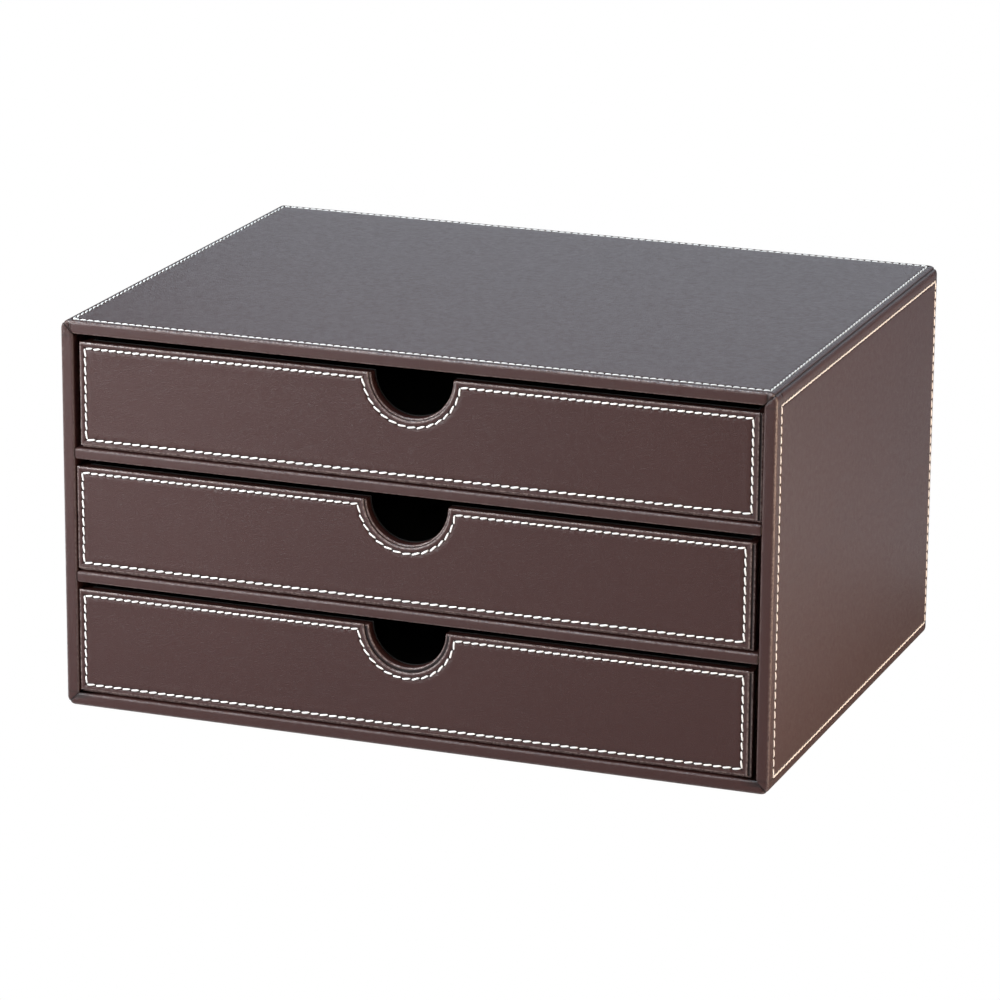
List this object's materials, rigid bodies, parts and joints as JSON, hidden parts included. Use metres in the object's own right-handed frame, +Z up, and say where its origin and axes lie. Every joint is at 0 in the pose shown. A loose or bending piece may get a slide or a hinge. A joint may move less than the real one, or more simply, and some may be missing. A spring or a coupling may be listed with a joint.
{
  "type": "desktop drawer organizer",
  "caption": "Low desktop cabinet of covered board with a column of shallow pull-out drawers, each opened by a round finger notch in its stitched front",
  "frame": {"origin": "on the desk, under the middle of the cabinet's base", "axes": "X to the right as seen from the front, Y to the back, Z up; the drawers pull out along -Y"},
  "size_m": [0.3344, 0.246, 0.1802],
  "materials": {
    "brown_leather": "dark brown fine-grained leathercloth, half matt",
    "board": "plain dense fibreboard",
    "black_lining": "black flocked paper lining",
    "black_felt": "thin black felt",
    "thread": "off-white sewing thread"
  },
  "bodies": {
    "cabinet": {"top_board": "board", "bottom_board": "board", "left_side_board": "board", "right_side_board": "board", "back_board": "board", "upper_shelf_board": "board", "lower_shelf_board": "board", "top_leather": "brown_leather", "left_side_leather": "brown_leather", "right_side_leather": "brown_leather", "bottom_leather": "brown_leather", "back_leather": "brown_leather", "upper_shelf_wrap": "brown_leather", "lower_shelf_wrap": "brown_leather", "upper_compartment_lining": "black_lining", "middle_compartment_lining": "black_lining", "lower_compartment_lining": "black_lining", "base_felt": "black_felt", "top_thread": "thread", "left_side_thread": "thread", "right_side_thread": "thread"},
    "upper_drawer": {"upper_drawer_front_board": "board", "upper_drawer_left_wall": "board", "upper_drawer_right_wall": "board", "upper_drawer_back_wall": "board", "upper_drawer_floor": "board", "upper_drawer_wrap": "brown_leather", "upper_drawer_front_face": "brown_leather", "upper_drawer_lining": "black_lining", "upper_drawer_thread": "thread"},
    "middle_drawer": {"middle_drawer_front_board": "board", "middle_drawer_left_wall": "board", "middle_drawer_right_wall": "board", "middle_drawer_back_wall": "board", "middle_drawer_floor": "board", "middle_drawer_wrap": "brown_leather", "middle_drawer_front_face": "brown_leather", "middle_drawer_lining": "black_lining", "middle_drawer_thread": "thread"},
    "lower_drawer": {"lower_drawer_front_board": "board", "lower_drawer_left_wall": "board", "lower_drawer_right_wall": "board", "lower_drawer_back_wall": "board", "lower_drawer_floor": "board", "lower_drawer_wrap": "brown_leather", "lower_drawer_front_face": "brown_leather", "lower_drawer_lining": "black_lining", "lower_drawer_thread": "thread"}
  },
  "joints": [
    {"name": "upper_drawer_slide", "type": "slide", "parent": "cabinet", "child": "upper_drawer", "axis": [0, -1, 0], "range_m": [0, 0.19]},
    {"name": "middle_drawer_slide", "type": "slide", "parent": "cabinet", "child": "middle_drawer", "axis": [0, -1, 0], "range_m": [0, 0.19]},
    {"name": "lower_drawer_slide", "type": "slide", "parent": "cabinet", "child": "lower_drawer", "axis": [0, -1, 0], "range_m": [0, 0.19]}
  ]
}
